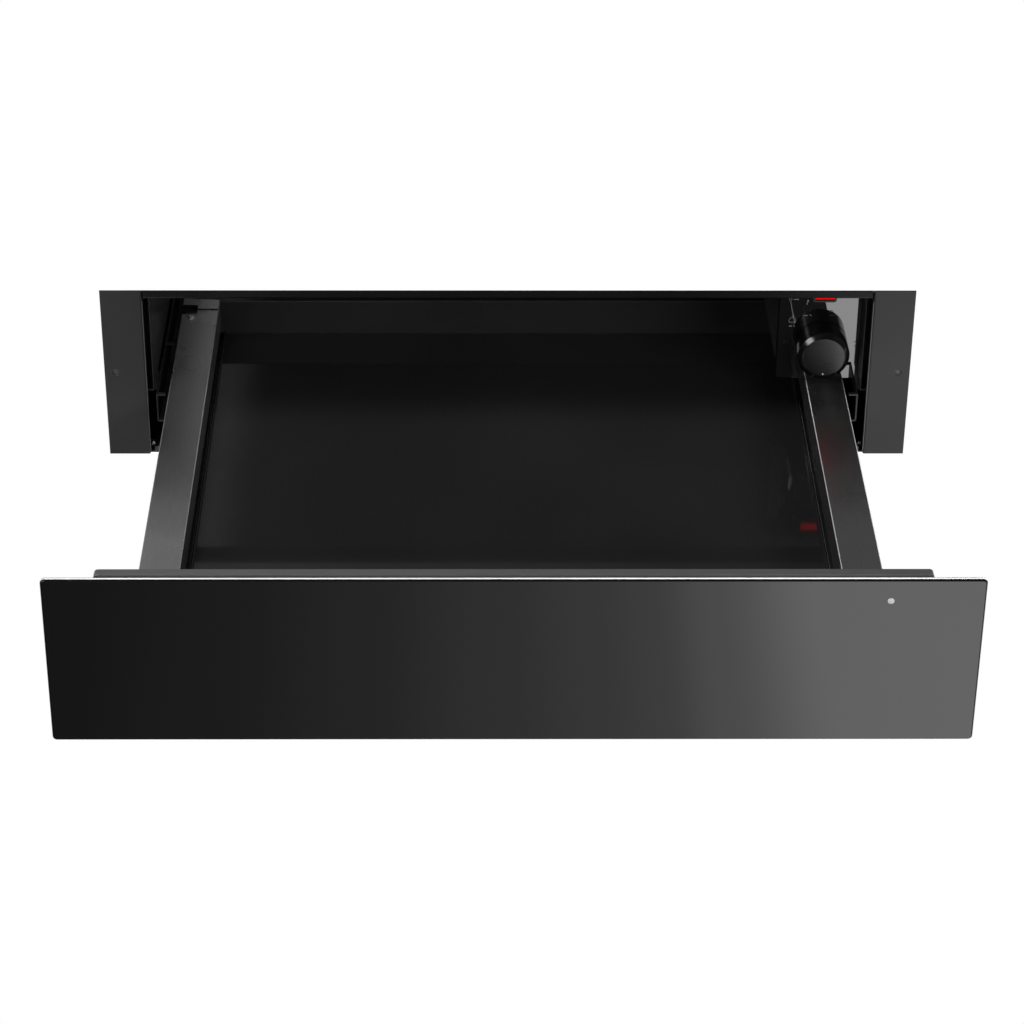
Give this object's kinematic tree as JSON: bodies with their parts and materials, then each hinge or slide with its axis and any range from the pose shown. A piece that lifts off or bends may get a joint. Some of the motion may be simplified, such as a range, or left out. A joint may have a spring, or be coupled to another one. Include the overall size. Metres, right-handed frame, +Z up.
{
  "type": "warming drawer",
  "caption": "Built-in warming drawer with a frameless black glass front, shown pulled out on telescopic side rails, with a glass base, control knob and lit rocker switch",
  "frame": {"origin": "middle of the underside of the housing, on the face that rests on the niche floor", "axes": "+X to the right seen from the front, +Y back into the cabinet, +Z up"},
  "size_m": [0.595, 0.916, 0.14],
  "materials": {
    "base_glass": "polished black",
    "black_enamel": "gloss enamel",
    "black_glass": "polished black",
    "black_plastic": "fine grain",
    "bright_steel": "bright",
    "brushed_steel": "brushed along its length",
    "clear_lens": "clear",
    "dark_coated_steel": "fine powder coat",
    "gloss_black_plastic": "gloss",
    "heater_steel": "heat tinted",
    "knob_metal": "brushed",
    "mineral_wool": "felted",
    "red_lens": "lit, emissive",
    "rubber": "soft",
    "satin_steel": "brushed",
    "seal": "matte",
    "white_plastic": "satin",
    "zinc_steel": "zinc coated"
  },
  "bodies": {
    "housing": {"base_tray": "zinc_steel", "left_side_panel": "zinc_steel", "right_side_panel": "zinc_steel", "left_fixing_flange": "dark_coated_steel", "right_fixing_flange": "dark_coated_steel", "top_front_rail": "dark_coated_steel", "top_cover": "zinc_steel", "rear_panel": "zinc_steel", "cable_gland": "black_plastic", "left_liner": "black_enamel", "right_liner": "black_enamel", "ceiling_liner": "black_enamel", "insulation": "mineral_wool", "housing_screws": "bright_steel", "left_runner_bracket": "zinc_steel", "right_runner_bracket": "zinc_steel", "slide_rivets": "bright_steel", "runner_supports": "zinc_steel", "left_outer_member": "zinc_steel", "right_outer_member": "zinc_steel", "control_panel": "gloss_black_plastic", "control_box": "zinc_steel", "thermostat": "black_plastic", "terminal_block": "white_plastic", "switch_body": "gloss_black_plastic", "fan_frame": "black_plastic", "heater_element": "heater_steel", "air_baffle": "black_enamel", "latch_body": "black_plastic"},
    "drawer": {"front_glass": "black_glass", "bonding_tape": "seal", "front_carrier": "satin_steel", "indicator_lens": "clear_lens", "glass_buffers": "rubber", "left_rail": "brushed_steel", "right_rail": "brushed_steel", "left_slide_spacer": "zinc_steel", "right_slide_spacer": "zinc_steel", "front_brackets": "zinc_steel", "drawer_screws": "bright_steel", "base_pan": "zinc_steel", "base_gasket": "seal", "base_glass": "base_glass", "back_wall": "brushed_steel", "striker_plate": "zinc_steel", "left_inner_member": "zinc_steel", "right_inner_member": "zinc_steel"},
    "middle_slides": {"left_middle_member": "zinc_steel", "right_middle_member": "zinc_steel"},
    "outer_cages": {"outer_cages": "bright_steel"},
    "inner_cages": {"inner_cages": "bright_steel"},
    "knob": {"knob_body": "gloss_black_plastic", "knob_cap": "knob_metal", "knob_spindle": "bright_steel"},
    "rocker": {"rocker": "gloss_black_plastic", "rocker_lens": "red_lens"},
    "fan_rotor": {"fan_impeller": "black_plastic"},
    "latch_plunger": {"latch_plunger": "white_plastic"}
  },
  "joints": [
    {"name": "drawer_slide", "type": "slide", "parent": "housing", "child": "drawer", "axis": [0, -1, 0], "range_m": [-0.3545, 0]},
    {"name": "middle_slide", "type": "slide", "parent": "housing", "child": "middle_slides", "axis": [0, -1, 0], "range_m": [-0.17725, 0]},
    {"name": "outer_cage_roll", "type": "slide", "parent": "housing", "child": "outer_cages", "axis": [0, -1, 0], "range_m": [-0.08862, 0]},
    {"name": "inner_cage_roll", "type": "slide", "parent": "housing", "child": "inner_cages", "axis": [0, -1, 0], "range_m": [-0.26587, 0]},
    {"name": "thermostat_knob", "type": "hinge", "parent": "housing", "child": "knob", "pos_m": [0.2335, -0.2585, 0.0797], "axis": [0, 1, 0], "range_deg": [0, 270]},
    {"name": "rocker_switch", "type": "hinge", "parent": "housing", "child": "rocker", "pos_m": [0.2339, -0.246, 0.1227], "axis": [1, 0, 0], "range_deg": [-16, 0]},
    {"name": "fan_spin", "type": "hinge", "parent": "housing", "child": "fan_rotor", "pos_m": [0, 0.2565, 0.088], "axis": [0, 1, 0], "continuous": true},
    {"name": "latch_push", "type": "slide", "parent": "housing", "child": "latch_plunger", "axis": [0, 1, 0], "range_m": [0, 0.008], "stiffness_N_per_m": 300, "springref_m": -0.004}
  ],
  "couplings": [
    {"joint": "middle_slide", "follows": "drawer_slide", "ratio": 0.5},
    {"joint": "outer_cage_roll", "follows": "drawer_slide", "ratio": 0.25},
    {"joint": "inner_cage_roll", "follows": "drawer_slide", "ratio": 0.75}
  ]
}
